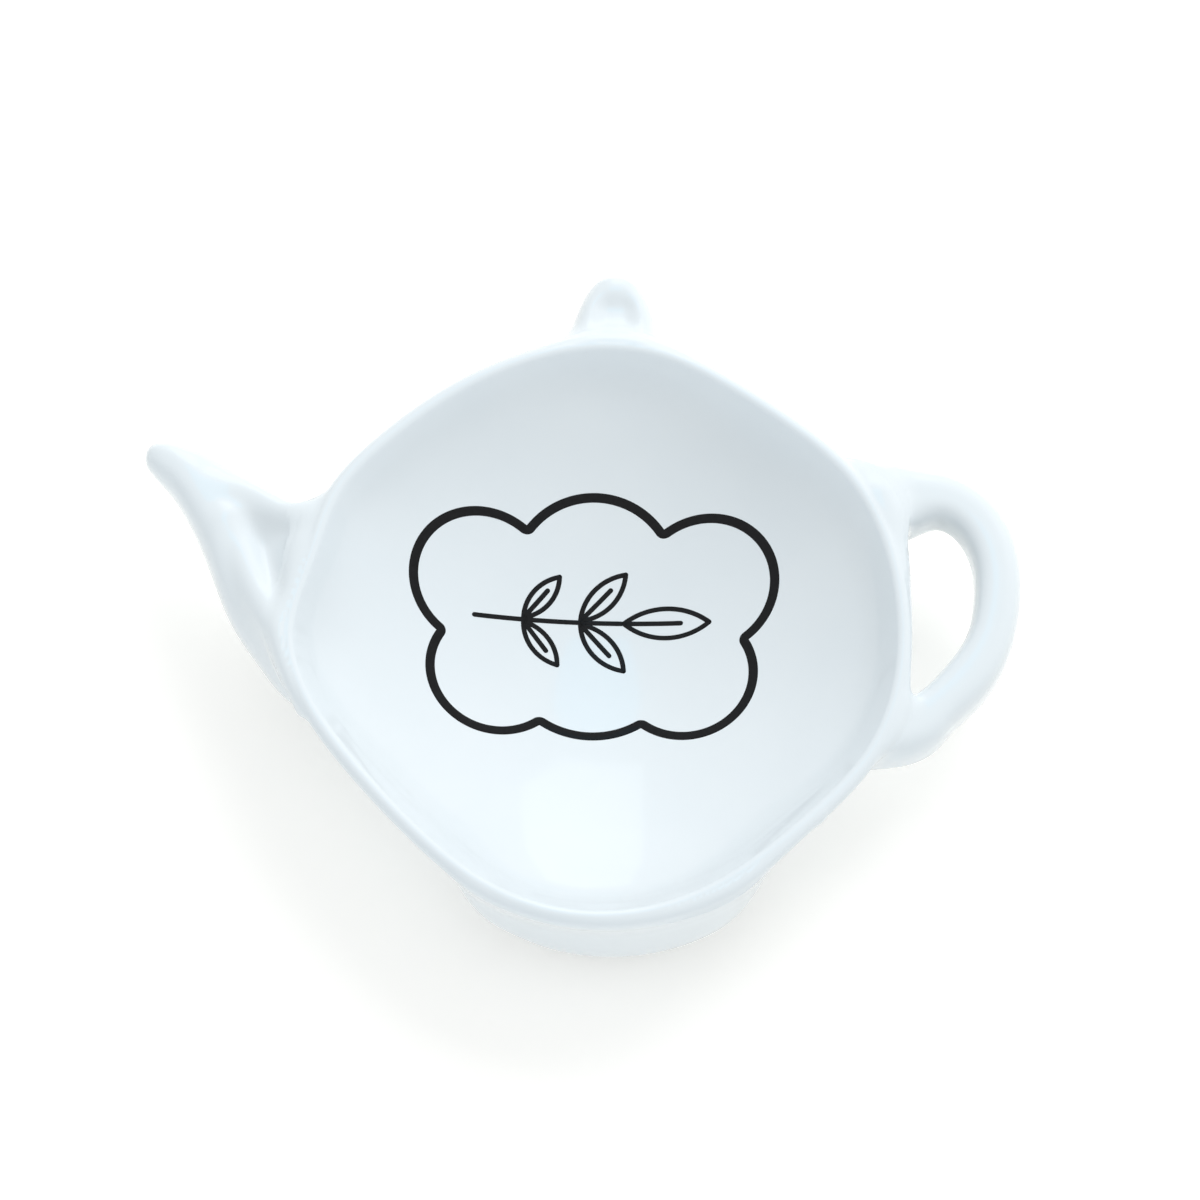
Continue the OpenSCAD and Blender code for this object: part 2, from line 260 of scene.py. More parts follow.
# How deep the spout's upper face is let in between the lip, the ridge and the brow, and the spans
# over which this grows and fades, along the spout and along Y
HOLLOW = 2.3
HOLLOW_ALONG = ((39.5, 48.0), (47.5, 54.0))
HOLLOW_ACROSS = ((-3.0, 11.0), (10.5, 17.8))


def spout_field(x, y, z):
    """The spout with its ridge and brow."""
    u = -x
    (upper, lower, z0, z1), (upper_slope, lower_slope, _, _) = SPOUT.at(u)
    half = np.maximum((upper - lower) / 2, THINNEST)
    w = y - (upper + lower) / 2
    slope = np.where(w > 0, upper_slope, lower_slope)
    dip = HOLLOW * hill(u, *HOLLOW_ALONG) * hill(y, *HOLLOW_ACROSS)
    body = SPOUT.body(u, w, half, z, z0, z1, dip, slope)
    body = join(body, tube_field(x, y, z, ridge_line), RIDGE_BLEND)
    return join(body, tube_field(x, y, z, brow_line), BROW_BLEND)


# The handle by stations along its way: x, y, half widths to the outside and to the hole, low and
# high level
HANDLE = [(25.0, 16.6, 4.0, 5.0, 14.0, 17.0), (37.0, 20.2, 6.0, 6.4, 11.4, 17.7),
          (42.4, 20.9, 5.0, 4.9, 10.2, 17.7), (47.3, 20.7, 4.1, 3.1, 10.4, 17.6),
          (51.9, 17.6, 3.7, 3.0, 10.2, 17.5), (54.4, 12.1, 3.3, 3.2, 9.8, 17.5),
          (54.6, 5.7, 3.15, 3.25, 9.3, 17.5), (53.1, -0.6, 3.25, 3.2, 9.3, 17.5),
          (50.0, -6.2, 3.25, 3.6, 9.3, 17.5), (45.7, -10.7, 3.3, 3.6, 9.4, 17.5),
          (40.6, -14.1, 3.7, 5.6, 9.8, 17.5), (26.0, -16.2, 3.4, 5.0, 13.8, 17.0)]
HANDLE_POWER, HANDLE_END = 2.8, 4
# The search for the nearest place on the handle's way: a coarse step, then rounds of damped Newton
# steps
COARSE, AT_ONCE, ROUNDS, DAMPING = 0.04, 20000, 4, 0.9
handle_u = np.arange(len(HANDLE), dtype=float)
handle_x, handle_y, handle_out, handle_in, handle_z0, handle_z1 = (
    Spline(handle_u, [h[i] for h in HANDLE]) for i in range(6))


def handle_field(x, y, z):
    """The handle's loop with the web between its roots."""
    shape = np.shape(x)
    xy = np.stack([np.ravel(x), np.ravel(y)], 1)
    spots, back = np.unique(np.round(xy, 6), axis=0, return_inverse=True)
    us = np.arange(0, handle_u[-1] + COARSE / 40, COARSE)
    px, py = handle_x(us), handle_y(us)
    u = np.empty(len(spots))
    for i in range(0, len(spots), AT_ONCE):
        part = spots[i: i + AT_ONCE]
        u[i: i + AT_ONCE] = us[np.argmin((part[:, :1] - px) ** 2 + (part[:, 1:] - py) ** 2, 1)]
    for _ in range(ROUNDS):
        dx, dy = handle_x(u) - spots[:, 0], handle_y(u) - spots[:, 1]
        tx, ty = handle_x(u, 1), handle_y(u, 1)
        move = (dx * tx + dy * ty) / (tx * tx + ty * ty + TINIEST) * DAMPING
        u = np.clip(u - move, 0, handle_u[-1])
    tx, ty = handle_x(u, 1), handle_y(u, 1)
    size = np.hypot(tx, ty)
    dx, dy = spots[:, 0] - handle_x(u), spots[:, 1] - handle_y(u)
    across = (dx * -ty + dy * tx) / size
    along = np.abs((dx * tx + dy * ty) / size)
    back = back.reshape(-1)
    u, across, along = (q[back].reshape(shape) for q in (u, across, along))
    z0, z1 = handle_z0(u), handle_z1(u)
    half = np.where(across > 0, handle_out(u), handle_in(u))
    loop = oval(across, half, z - (z0 + z1) / 2, (z1 - z0) / 2, HANDLE_POWER, 0, along / HANDLE_END)
    return join(loop, tube_field(x, y, z, web_line), WEB_BLEND)


# The knob by stations along Y: place, half width, low level, high level
KNOB = Horn([(32.0, 14.0, 15.4, 18.0), (38.0, 15.0, 13.6, 18.3), (41.2, 13.0, 11.8, 18.4),
             (43.2, 9.8, 10.6, 18.45), (45.4, 7.1, 9.6, 18.3), (48.0, 5.8, 9.8, 18.0),
             (50.6, 4.9, 10.1, 17.6), (52.4, 4.1, 10.5, 17.1), (53.7, 3.0, 11.3, 16.7),
             (54.4, 1.7, 12.4, 15.9), (54.7, 0.0, 14.2, 14.2)])
KNOB_X = 1.1
# The dip in the knob's upper face, the spans over which it grows and fades along Y, and the shares
# of the half width between which it fades sideways
DIP = 1.5
DIP_ALONG = ((42.5, 48.0), (48.0, 53.4))
DIP_ACROSS = (0.1, 0.9)


def knob_field(x, y, z):
    (half, z0, z1), (half_slope, _, _) = KNOB.at(y)
    half = np.maximum(half, THINNEST)
    w = x - KNOB_X
    dip = DIP * (1 - ramp(np.abs(w) / half, *DIP_ACROSS)) * hill(y, *DIP_ALONG)
    return KNOB.body(y, w, half, z, z0, z1, dip, half_slope)


# The teapot's foot by stations along X: x, face, low level
FOOT = [(-27.0, -25.0, 16.0), (-21.8, -31.2, 13.2), (-19.4, -34.2, 11.2), (-17.2, -37.2, 8.4),
        (-11.8, -41.0, 4.9), (-5.4, -43.0, 3.1), (2.0, -43.8, 2.6), (9.4, -43.0, 3.1),
        (15.8, -41.0, 4.9), (21.2, -37.0, 8.4), (23.4, -34.0, 11.2), (25.6, -31.0, 13.2),
        (29.0, -26.0, 16.0)]
# How far the foot reaches back from its face, its upper level, its section's power and its round
# ends
FOOT_DEEP, FOOT_TOP, FOOT_POWER, FOOT_END = 15.0, HEIGHT - 0.15, 5.0, 2
foot_x = [f[0] for f in FOOT]
foot_face, foot_low = (Spline(foot_x, [f[i] for f in FOOT]) for i in (1, 2))


def foot_field(x, y, z):
    u = np.clip(x, foot_x[0], foot_x[-1])
    low = foot_low(u)
    w = y - (foot_face(u) + FOOT_DEEP / 2)
    return oval(w, FOOT_DEEP / 2, z - (FOOT_TOP + low) / 2, (FOOT_TOP - low) / 2, FOOT_POWER,
                foot_face(u, 1), np.abs(x - u) / FOOT_END)


# Each limb: its field, the region that it stays in (x from, x to, y from, y to), and its fillet
# (depth where it is least, how much deeper it grows, and the span along Y over which it grows)
LIMBS = {
    "spout": (spout_field, (-FAR, -24, -26, 34), (2.4, 2.4, (2.0, 12.0))),
    "handle": (handle_field, (23, FAR, -28, 32), (2.8, 2.4, (-4.0, 9.0))),
    "lid_knob": (knob_field, (-24, 24, 29, FAR), (2.2, 0.0, (0.0, 1.0))),
    "foot_lobe": (foot_field, (-32, 32, -FAR, -24), (2.4, 0.0, (0.0, 1.0))),
}
# A fillet has no depth from FADE_OUT, over the well's surface, and its full depth from FADE_IN and
# a share of its own depth under that surface
FADE_OUT, FADE_IN, FADE_SHARE, LEAST_FILLET = -0.6, 0.5, 0.8, 0.01


def limb(name, x, y, z):
    """One limb's field, kept out of the well by the middle of the wall."""
    field, (x0, x1, y0, y1), _ = LIMBS[name]
    out = np.full(np.shape(x), FAR)
    near = (x > x0) & (x < x1) & (y > y0) & (y < y1)
    if near.any():
        at = x[near], y[near], z[near]
        out[near] = np.maximum(field(*at), WALL / 2 - well_field(*at))
    return out


def whole(x, y, z):
    """The whole porcelain body: the fillets fade out towards the well's own side of the lip."""
    d = dish_field(x, y, z)
    well = well_field(x, y, z)
    for name, (_, _, (least, more, span)) in LIMBS.items():
        deep = least + more * ramp(y, *span)
        fade = ramp(well, FADE_OUT, FADE_IN + FADE_SHARE * deep)
        d = join(d, limb(name, x, y, z), deep * fade + LEAST_FILLET)
    return d


def nets(field, low, high, step):
    """A closed mesh of a field's zero surface: a vertex per crossed cell, a quad per edge."""
    axes = [np.arange(low[i], high[i] + step, step) for i in range(3)]
    gx, gy = np.meshgrid(axes[0], axes[1], indexing="ij")
    f = np.stack([field(gx, gy, np.full_like(gx, z)) for z in axes[2]], 2)
    inside = f < 0
    nx, ny, nz = (n - 1 for n in f.shape)
    total, count = np.zeros((nx, ny, nz, 3), np.float32), np.zeros((nx, ny, nz), np.int8)

    def part(c):
        return f[c[0]: c[0] + nx, c[1]: c[1] + ny, c[2]: c[2] + nz]

    # A vertex is the mean of the crossings on its cell's twelve edges
    for p in ((i, j, k) for i in (0, 1) for j in (0, 1) for k in (0, 1)):
        for axis in range(3):
            if p[axis]:
                continue
            q = tuple(c + (n == axis) for n, c in enumerate(p))
            a, b = part(p), part(q)
            crossed = (a < 0) != (b < 0)
            t = np.where(crossed, a / np.where(crossed, a - b, 1), 0)
            for n in range(3):
                total[..., n] += np.where(crossed, p[n] + (t if n == axis else 0), 0)
            count += crossed
    cells = np.argwhere(count > 0)
    index = np.full((nx, ny, nz), -1, np.int64)
    index[tuple(cells.T)] = np.arange(len(cells))
    points = total[tuple(cells.T)] / count[tuple(cells.T)][:, None] + cells
    points = points * step + np.array(low)

    # A quad joins the four cells round a crossed edge, and is turned to face outwards
    quads = []
    for axis in range(3):
        o, p = [(1, 2), (2, 0), (0, 1)][axis]
        lo, hi = [slice(None)] * 3, [slice(None)] * 3
        lo[axis], hi[axis] = slice(0, -1), slice(1, None)
        at = np.argwhere(inside[tuple(lo)] != inside[tuple(hi)])
        for side in (o, p):
            at = at[(at[:, side] > 0) & (at[:, side] < f.shape[side] - 1)]
        ring = []
        for so, sp in [(0, 0), (1, 0), (1, 1), (0, 1)]:
            c = at.copy()
            c[:, o] -= so
            c[:, p] -= sp
            ring.append(index[tuple(c.T)])
        q = np.stack(ring, 1)
        out = inside[tuple(at.T)]
        q[~out] = q[~out][:, ::-1]
        quads.append(q)
    return points, np.concatenate(quads)


# The half step of a slope's measurement, the least squared slope that a move trusts, and the
# longest move
PROBE, LEAST_SLOPE, LONGEST = 0.02, 0.05, 0.3
SETTLE_ROUNDS = 4


def slope_of(field, p):
    """A field's slope at some points."""
    g = np.empty_like(p)
    for i in range(3):
        d = np.zeros(3)
        d[i] = PROBE
        a, b = p + d, p - d
        g[:, i] = (field(*a.T) - field(*b.T)) / (2 * PROBE)
    return g


def settle(field, p):
    """Moves points onto the surface and returns them with the surface's own directions."""
    for _ in range(SETTLE_ROUNDS):
        g = slope_of(field, p)
        size = np.maximum((g ** 2).sum(1), LEAST_SLOPE)
        move = -(field(*p.T) / size)[:, None] * g
        far = np.linalg.norm(move, axis=1)
        p = p + move * np.minimum(1, LONGEST / np.maximum(far, TINIEST))[:, None]
    g = slope_of(field, p)
    return p, g / np.linalg.norm(g, axis=1)[:, None]


# The box round the porcelain without its foot ring, and the size of the mesh's cells
BODY_LOW, BODY_HIGH = (-65.2, -46.6, RING_H - 0.7), (59.4, 56.4, 19.9)
STEP = 0.42
points, quads = nets(whole, BODY_LOW, BODY_HIGH, STEP)
points, normals = settle(whole, points)


def largest_patch(faces, chosen, count):
    """Which of the chosen faces lie in their largest joined patch."""
    ids = np.where(chosen)[0]
    label = np.arange(count)
    f = faces[ids]
    before = None
    while before is None or (label != before).any():
        low = label[f].min(1)
        before = label.copy()
        for c in range(4):
            np.minimum.at(label, f[:, c], low)
        label = label[label]
    labels, sizes = np.unique(label[f[:, 0]], return_counts=True)
    keep = np.zeros(len(faces), bool)
    keep[ids[label[f[:, 0]] == labels[np.argmax(sizes)]]] = True
    return keep


# A face belongs to a limb where it stands OFF_DISH off the dish, and not much further off the limb
# than off the dish
OFF_DISH, OFF_LIMB = 0.3, 1.0
middle = points[quads].mean(1)
off_dish = dish_field(*middle.T)
owner = np.zeros(len(quads), int)
for k, name in enumerate(LIMBS, 1):
    chosen = (off_dish > OFF_DISH) & (limb(name, *middle.T) < off_dish + OFF_LIMB)
    owner[largest_patch(quads, chosen, len(points))] = k

# The radius of the caps' middles, inside the wall
CAP_R = RIM - 1.4


def closed(faces):
    """One piece's own faces, with a hidden cap inside the porcelain over each open rim."""
    used, local = np.unique(faces, return_inverse=True)
    local = local.reshape(-1, 4)
    edges = np.stack([local, np.roll(local, -1, 1)], 2).reshape(-1, 2)
    both, which = np.unique(np.sort(edges, 1), axis=0, return_inverse=True)
    way = np.where(edges[:, 0] < edges[:, 1], 1.0, -1.0)
    net = np.bincount(which.reshape(-1), way).round().astype(int)
    rim = np.concatenate([np.repeat(both, np.maximum(net, 0), 0),
                          np.repeat(both[:, ::-1], np.maximum(-net, 0), 0)])
    follow = {}
    for a, b in rim:
        follow.setdefault(int(a), []).append(int(b))
    polys = [tuple(q) for q in local.tolist()]
    p, n = list(map(tuple, points[used])), list(map(tuple, normals[used]))
    while follow:
        start = next(iter(follow))
        loop, at = [start], start
        while True:
            following = follow[at].pop()
            if not follow[at]:
                del follow[at]
            if following == start:
                break
            loop.append(following)
            at = following
        if len(loop) < 3:
            continue
        centre = np.array([p[i] for i in loop]).mean(0)
        centre[:2] *= CAP_R / math.hypot(centre[0], centre[1])
        polys += [(loop[(i + 1) % len(loop)], loop[i], len(p)) for i in range(len(loop))]
        p.append(tuple(centre))
        n.append((0.0, 0.0, 1.0))
    return np.array(p), polys, np.array(n)


def show(name, data):
    """A new object of the scene."""
    obj = bpy.data.objects.new(name, data)
    bpy.context.scene.collection.objects.link(obj)
    return obj


def make(name, p, polys, n=None):
    """A mesh object in metres in the CAD's frame, smooth, with the given directions if any."""
    mesh = bpy.data.meshes.new(name)
    mesh.from_pydata(((np.asarray(p) + WELL) * MM).tolist(), [], polys)
    mesh.polygons.foreach_set("use_smooth", [True] * len(mesh.polygons))
    mesh.update()
    if n is not None:
        mesh.normals_split_custom_set_from_vertices(n.tolist())
    return show(name, mesh)


pieces = {}
for k, name in enumerate(["dish", *LIMBS]):
    pieces[name] = make("porcelain_" + name, *closed(quads[owner == k]))

# The foot ring's rounded edge, its fillet to the dish, and where its section ends unseen in the
# porcelain
RING_EDGE, RING_FLARE, RING_TUCK, RING_TOP = 0.5, 0.6, 0.3, 0.9
RING_SIDES = 256


def ring_profile():
    """The foot ring's section (radius, level): flat ground face, rounded edges, flared top."""
    arc = [math.radians(a) for a in range(0, 91, 15)]
    edge = [(RING_R - RING_EDGE + RING_EDGE * math.sin(a), RING_EDGE - RING_EDGE * math.cos(a))
            for a in arc]
    flare = [(RING_R + RING_FLARE - RING_FLARE * math.cos(a),
              RING_H - RING_FLARE + RING_FLARE * math.sin(a)) for a in arc]
    outer = edge + flare[1:] + [(RING_R + RING_FLARE + RING_TUCK, RING_H + RING_TOP)]
    inner = [(RING_R + (RING_R - RING_W) - r, z) for r, z in outer]
    return outer + inner[::-1]


def turned_mesh(name, profile, sides):
    """A closed ring turned round the dish's axis from a profile of (radius, level)."""
    turns = np.linspace(0, 2 * math.pi, sides, endpoint=False)
    p = np.array([(r * math.cos(a), r * math.sin(a), z) for a in turns for r, z in profile])
    m = len(profile)
    polys = []
    for i in range(sides):
        here, there = i * m, (i + 1) % sides * m
        polys += [(here + j, there + j, there + (j + 1) % m, here + (j + 1) % m) for j in range(m)]
    return make(name, p, polys)


pieces["foot_ring"] = turned_mesh("porcelain_foot_ring", ring_profile(), RING_SIDES)

# The print: a frame of lobes and a sprig, laid on the well as a thin raised skin
PRINT_W, PRINT_H, PRINT_T = 51.4, 36.6, 0.05
PRINT_AT = np.array([-0.9, 5.8])
FRAME_LINE, SPRIG_LINE, SPRIG_L = 1.3, 0.7, 33.0
FRAME_POINTS = 1600
# A lobe is a disc, used on both sides: its middle as shares of the print's width and height, its
# radius as a share of the width
LOBES = [(0, 0.177, 0.231), (0.303, 0.141, 0.198), (0.253, -0.217, 0.194), (0, -0.137, 0.252)]
# A leaf: where it leaves the stem, its turn in degrees and its length, both lengths as shares of
# the sprig's
LEAVES = [(0.62, 0, 0.38), (0.44, 48, 0.30), (0.44, -48, 0.30), (0.20, 52, 0.26), (0.20, -52, 0.26)]
# A leaf is this many times as long as one of its sides is wide. Its vein starts at VEIN_FROM and
# takes VEIN_SHARE of it.
LEAF_SLIM, LEAF_POINTS, VEIN_FROM, VEIN_SHARE = 5, 24, 0.2, 2 / 3
# A stroke's points: the spacing along it, the number on each round end, and its least squared half
# width
STROKE_STEP, END_POINTS, SHARPEST = 0.4, 7, 1e-5
# Across a printed line: place as a share of its width, and level as a share of the skin's height
ACROSS = [(0, -1), (0, 0.0), (0.03, 0.7), (0.09, 1), (0.37, 1), (0.63, 1), (0.91, 1), (0.97, 0.7),
          (1, 0.0), (1, -1)]
# The frame's inner edge is found by halving, for this many directions at once
HALVINGS, DIRECTIONS = 22, 400


def lay(xy, lift):
    """Points over or under the well's own surface by a small distance along its normal."""
    xy = np.asarray(xy, float)
    r = even(*xy.T)
    z, tilt = np.full(len(r), INNER.floor), np.zeros(len(r))
    for radius, a0, a1, cx, cz in INNER.arcs:
        a = np.arcsin(np.clip((r - cx) / radius, -1, 1))
        on = (r > INNER.flat) & (a >= a0) & (a <= a1 + TINY)
        z, tilt = np.where(on, cz - radius * np.cos(a), z), np.where(on, a, tilt)
    out = xy / np.maximum(np.hypot(*xy.T), TINY)[:, None]
    lean = -np.sin(tilt)[:, None] * out
    return np.column_stack([xy + lean * np.reshape(lift, (-1, 1)), z + np.cos(tilt) * lift])


def line_mesh(left, right, loop):
    """Points and faces of a raised line between two rows of points."""
    m, count = len(ACROSS), len(left)
    rows = [lay(left + (right - left) * share, level * PRINT_T) for share, level in ACROSS]
    p = np.stack(rows, 1).reshape(-1, 3)
    polys = []
    for i in range(count if loop else count - 1):
        here, there = i * m, (i + 1) % count * m
        polys += [(here + (j + 1) % m, here + j, there + j, there + (j + 1) % m) for j in range(m)]
    if not loop:
        polys += [tuple(range(m)), tuple((count - 1) * m + j for j in reversed(range(m)))]
    return p, polys


def cloud(phi):
    """How far the lobes' outline stands from the print's middle, in each direction."""
    best = np.zeros_like(phi)
    for cx, cy, rad in LOBES:
        for side in (1, -1):
            x, y, r = side * cx * PRINT_W, cy * PRINT_H, rad * PRINT_W
            b = np.cos(phi) * x + np.sin(phi) * y
            disc = b * b - x * x - y * y + r * r
            best = np.maximum(best, np.where(disc > 0, b + np.sqrt(np.maximum(disc, 0)), 0))
    return best


def frame_rows(count):
    """The frame's inner and outer edge: the inner one lies a line's width inside the outline."""
    phi = np.linspace(0, 2 * math.pi, count, endpoint=False)
    ray = np.stack([np.cos(phi), np.sin(phi)], 1)
    outer = ray * cloud(phi)[:, None]
    low, high = np.zeros(count), cloud(phi)
    for _ in range(HALVINGS):
        mid = (low + high) / 2
        near = np.full(count, FAR)
        for k in range(0, count, DIRECTIONS):
            gap = ((ray * mid[:, None])[:, None, :] - outer[None, k: k + DIRECTIONS]) ** 2
            near = np.minimum(near, np.sqrt(gap.sum(2)).min(1))
        inside = near > FRAME_LINE
        low, high = np.where(inside, mid, low), np.where(inside, high, mid)
    return ray * low[:, None] + PRINT_AT, outer + PRINT_AT


def stroke(path, width):
    """The two edges of a drawn line of even width with round ends along a path."""
    path = np.asarray(path, float)
    radius = width / 2
    ends = radius * (1 - np.cos(np.linspace(0, math.pi / 2, END_POINTS)))
    way = np.concatenate([[0], np.cumsum(np.hypot(*np.diff(path, axis=0).T))])
    total = way[-1] + width
    inner = np.arange(width, total - width, STROKE_STEP)
    at = np.unique(np.concatenate([ends[1:], total - ends[1:], inner]))
    short = np.maximum(radius - np.minimum(at, total - at), 0)
    half = np.sqrt(np.maximum(radius ** 2 - short ** 2, SHARPEST))
    spot = at - radius
    mid = np.stack([np.interp(spot, way, path[:, i]) for i in (0, 1)], 1)
    first, last = (path[1] - path[0]) / way[1], (path[-1] - path[-2]) / (way[-1] - way[-2])
    mid += np.minimum(spot, 0)[:, None] * first + np.maximum(spot - way[-1], 0)[:, None] * last
    along = np.gradient(mid, axis=0)
    along /= np.hypot(*along.T)[:, None]
    normal = np.stack([-along[:, 1], along[:, 0]], 1) * half[:, None]
    return mid + normal, mid - normal


def sprig_paths():
    """The stem, and for each leaf its two sides and its vein."""
    paths = [[(0, 0), (SPRIG_L * LEAVES[0][0], 0)]]
    for place, turn, share in LEAVES:
        size = SPRIG_L * share
        fat = size / LEAF_SLIM - SPRIG_LINE / 2
        size -= SPRIG_LINE
        r = (size * size / 4 + fat * fat) / (2 * fat)
        half = math.asin(size / 2 / r)
        q = np.linspace(-half, half, LEAF_POINTS)
        shapes = [np.stack([size / 2 + r * np.sin(q), side * (r * np.cos(q) - r + fat)], 1)
                  for side in (1, -1)]
        shapes.append(np.array([(VEIN_FROM, 0), (size * VEIN_SHARE, 0)]))
        c, d = math.cos(math.radians(turn)), math.sin(math.radians(turn))
        foot = np.array([SPRIG_L * place, 0])
        for shape in shapes:
            x, y = (shape + np.array([SPRIG_LINE / 2, 0])).T
            paths.append(np.stack([x * c - y * d, x * d + y * c], 1) + foot)
    start = PRINT_AT - np.array([SPRIG_L / 2, 0])
    return [np.asarray(path, float) + start for path in paths]


def gather(parts):
    """Several meshes as one."""
    p, polys, off = [], [], 0
    for its_points, its_polys in parts:
        p.append(its_points)
        polys += [tuple(i + off for i in poly) for poly in its_polys]
        off += len(its_points)
    return np.concatenate(p), polys


frame_mesh = line_mesh(*frame_rows(FRAME_POINTS), True)
sprig_mesh = gather([line_mesh(*stroke(path, SPRIG_LINE), False) for path in sprig_paths()])
for name, mesh in (("print_frame", frame_mesh), ("print_sprig", sprig_mesh)):
    pieces[name] = make("fired_" + name, *mesh)


# Materials
def nodes_of(name):
    """A new material, its node tree and its shader."""
    mat = bpy.data.materials.new(name)
    mat.use_nodes = True
    tree = mat.node_tree
    return mat, tree, tree.nodes["Principled BSDF"]


def put(node, values):
    """Sets a node's own inputs by their names."""
    for name, value in values.items():
        node.inputs[name].default_value = value


def noise(tree, scale, detail, rough):
    """Noise in the object's own space."""
    node = tree.nodes.new("ShaderNodeTexNoise")
    put(node, {"Scale": scale, "Detail": detail, "Roughness": rough})
    place = tree.nodes.new("ShaderNodeTexCoord")
    tree.links.new(place.outputs["Object"], node.inputs["Vector"])
    return node.outputs["Fac"]


def tinted(tree, shader, source, *stops):
    """Lets a source move the base colour between two stops of place and colour."""
    tint = tree.nodes.new("ShaderNodeValToRGB")
    for stop, (place, color) in zip(tint.color_ramp.elements, stops):
        stop.position, stop.color = place, (*color, 1)
    tree.links.new(source, tint.inputs["Fac"])
    tree.links.new(tint.outputs["Color"], shader.inputs["Base Color"])


def bumped(tree, shader, source, strength, distance, socket):
    """Lets a source ripple the surface of a layer of the shader."""
    bump = tree.nodes.new("ShaderNodeBump")
    put(bump, {"Strength": strength, "Distance": distance})
    tree.links.new(source, bump.inputs["Height"])
    tree.links.new(bump.outputs["Normal"], shader.inputs[socket])


def glaze():
    """White glazed porcelain: a cool, slightly clouded body, a clear coat with a faint ripple."""
    mat, tree, shader = nodes_of("white_glaze")
    put(shader, {"Roughness": 0.32, "Specular IOR Level": 0.35, "Coat Weight": 1.0,
                 "Coat Roughness": 0.06, "Coat IOR": 1.5})
    clouds = noise(tree, 55, 3.0, 0.55)
    tinted(tree, shader, clouds, (0.35, (0.822, 0.884, 0.918)), (0.7, (0.842, 0.900, 0.930)))
    bumped(tree, shader, noise(tree, 140, 2.0, 0.5), 0.05, 0.0004, "Coat Normal")
    return mat


def bisque():
    """The ground, unglazed foot ring: warm, matt and finely grained."""
    mat, tree, shader = nodes_of("bisque")
    put(shader, {"Roughness": 0.85})
    grain = noise(tree, 2500, 3.0, 0.6)
    tinted(tree, shader, grain, (0.0, (0.60, 0.57, 0.52)), (1.0, (0.78, 0.76, 0.71)))
    bumped(tree, shader, grain, 0.4, 0.0001, "Normal")
    return mat


def ink():
    """The black fired print: finely grained, with a weak coat."""
    mat, tree, shader = nodes_of("black_print")
    put(shader, {"Roughness": 0.4, "Specular IOR Level": 0.1, "Coat Weight": 0.12,
                 "Coat Roughness": 0.05})
    grain = noise(tree, 1800, 2.0, 0.5)
    tinted(tree, shader, grain, (0.0, (0.003, 0.003, 0.0035)), (1.0, (0.012, 0.012, 0.013)))
    return mat


finish = {"white_glaze": glaze(), "bisque": bisque(), "black_print": ink()}
slots = {"foot_ring": "bisque", "print_frame": "black_print", "print_sprig": "black_print"}
for name, obj in pieces.items():
    slot = slots.get(name, "white_glaze")
    obj.data.materials.append(finish[slot])
    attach(obj, "root")
    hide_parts(name)

# Camera: above the dish and a little on the foot's side, turned slightly in the picture. It looks
# at a place in the CAD's frame from a distance in millimetres, and its lens is given in pixels of
# the photograph.
TILT, ROLL, CAMERA_OFF = math.radians(24), math.radians(1.5), 600.0
TARGET = Vector((2.8, 0.9, 12.0))
SENSOR, LENS_PIXELS, PHOTO_PIXELS = 36.0, 4350, 1200
back = Vector((0, -math.sin(TILT), math.cos(TILT)))
level_right = Vector((1, 0, 0))
right = level_right * math.cos(ROLL) + back.cross(level_right) * math.sin(ROLL)
up = back.cross(right)
where = (TARGET + back * CAMERA_OFF) * MM
camera = show("camera", bpy.data.cameras.new("camera"))
camera.data.sensor_width = SENSOR
camera.data.lens = SENSOR * LENS_PIXELS / PHOTO_PIXELS
camera.data.clip_start, camera.data.clip_end = 0.05, 20.0
camera.matrix_world = Matrix(((right.x, up.x, back.x, where.x), (right.y, up.y, back.y, where.y),
                              (right.z, up.z, back.z, where.z), (0, 0, 0, 1)))
bpy.context.scene.camera = camera


# Floor, world and lights
def seen_directly(tree):
    """1 for what the camera, a mirror or glass sees, 0 for the light that falls on things."""
    path = tree.nodes.new("ShaderNodeLightPath")
    last = path.outputs["Is Camera Ray"]
    for kind in ("Is Glossy Ray", "Is Transmission Ray"):
        both = tree.nodes.new("ShaderNodeMath")
        both.operation = "MAXIMUM"
        tree.links.new(last, both.inputs[0])
        tree.links.new(path.outputs[kind], both.inputs[1])
        last = both.outputs[0]
    return last


def floor_finish():
    """A pale, warm white that glows a little where it is seen directly, like the background."""
    mat, tree, shader = nodes_of("floor")
    put(shader, {"Base Color": (0.88, 0.865, 0.83, 1), "Roughness": 0.7,
                 "Emission Color": (1, 1, 1, 1)})
    glow = tree.nodes.new("ShaderNodeMath")
    glow.operation = "MULTIPLY"
    glow.inputs[1].default_value = 0.32
    tree.links.new(seen_directly(tree), glow.inputs[0])
    tree.links.new(glow.outputs[0], shader.inputs["Emission Strength"])
    return mat


def flat(name, size, z):
    """A level square of the stage, in metres."""
    mesh = bpy.data.meshes.new(name)
    s = size / 2
    mesh.from_pydata([(-s, -s, z), (s, -s, z), (s, s, z), (-s, s, z)], [], [(0, 1, 2, 3)])
    obj = show(name, mesh)
    return obj


floor = flat("floor", 6.0, -0.00002)
floor.data.materials.append(floor_finish())

# The world is white where it is seen directly and dimmer as a light
world = bpy.data.worlds.new("studio")
bpy.context.scene.world = world
world.use_nodes = True
tree = world.node_tree
background = tree.nodes["Background"]
put(background, {"Color": (0.96, 0.985, 1.0, 1)})
level = tree.nodes.new("ShaderNodeMapRange")
put(level, {"To Min": 0.72, "To Max": 1.0})
tree.links.new(seen_directly(tree), level.inputs["Value"])
tree.links.new(level.outputs["Result"], background.inputs["Strength"])


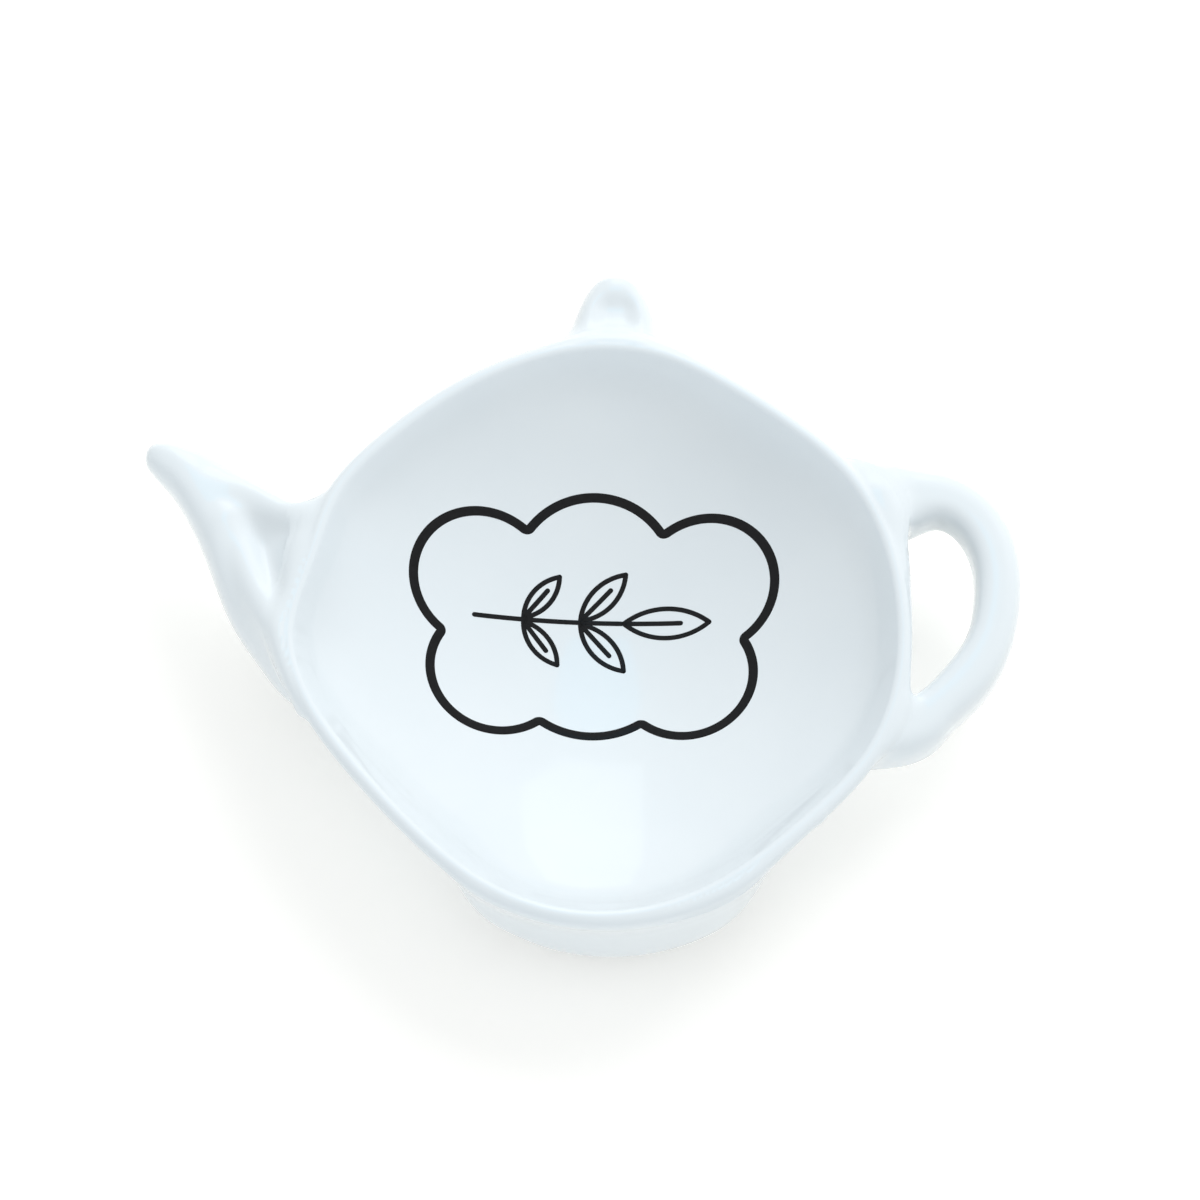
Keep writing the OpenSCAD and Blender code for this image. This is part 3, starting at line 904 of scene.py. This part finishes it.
def lamp(name, at, aim, size, power, color=(1, 1, 1)):
    """A soft lamp that isn't mirrored in the glaze: places in metres, size as width and height."""
    data = bpy.data.lights.new(name, "AREA")
    data.shape = "RECTANGLE"
    data.size, data.size_y = size
    data.energy = power
    data.color = color
    obj = show(name, data)
    obj.location = Vector(at)
    obj.rotation_euler = (Vector(aim) - Vector(at)).to_track_quat("-Z", "Y").to_euler()
    obj.visible_glossy = False


lamp("key", at=(0.6, 1.3, 1.05), aim=(0, 0, 0), size=(1.2, 1.2), power=15.5)
lamp("fill", at=(-0.3, -0.9, 0.05), aim=(0, 0, 0.01), size=(0.9, 0.08), power=0.9,
     color=(0.7, 0.85, 1.0))
lamp("front", at=(0.35, -1.0, 0.38), aim=(0, 0, 0.01), size=(0.6, 0.6), power=0.55)

# Two bright screens, seen only as reflections in the glaze. Each row is a place on the well where
# the camera sees a screen's left and right edges: the window on the lower wall, the sky over the
# middle of the floor.
WINDOW = [(-4.9, 6.4, -15.4), (-10.0, 6.5, -19.7), (-9.8, 6.6, -23.5), (-9.5, 6.7, -27.3),
          (-9.2, 6.3, -30.0)]
SKY = [(-4.0, 4.0, 3.5), (-5.5, 5.5, -1.0), (-6.0, 6.0, -6.5), (-4.5, 4.5, -11.0)]
SCREEN_OFF = 1100.0


def mirrored_from(x, y):
    """The place that the camera sees mirrored at a point of the well."""
    on, over = lay([(x, y), (x, y)], np.array([0.0, 1.0]))
    n = over - on
    on = on + WELL
    view = np.array(where) / MM - on
    view /= np.linalg.norm(view)
    return (on + (2 * (n @ view) * n - view) * SCREEN_OFF) * MM


def screen(name, rows, color, strength):
    """A glowing sheet that only mirrors see."""
    mesh = bpy.data.meshes.new(name)
    corners = [tuple(mirrored_from(x, y)) for left, right, y in rows for x in (left, right)]
    strips = [(2 * i, 2 * i + 1, 2 * i + 3, 2 * i + 2) for i in range(len(rows) - 1)]
    mesh.from_pydata(corners, [], strips)
    obj = show(name, mesh)
    for kind in ("camera", "diffuse", "shadow", "transmission"):
        setattr(obj, "visible_" + kind, False)
    mat, _, shader = nodes_of(name)
    put(shader, {"Base Color": (0, 0, 0, 1), "Emission Color": (*color, 1),
                 "Emission Strength": strength})
    mesh.materials.append(mat)


screen("window", WINDOW, (0.9, 0.97, 1.0), 1.7)
screen("sky", SKY, (0.35, 0.75, 1.0), 1.7)

bpy.context.scene.view_settings.view_transform = "Standard"
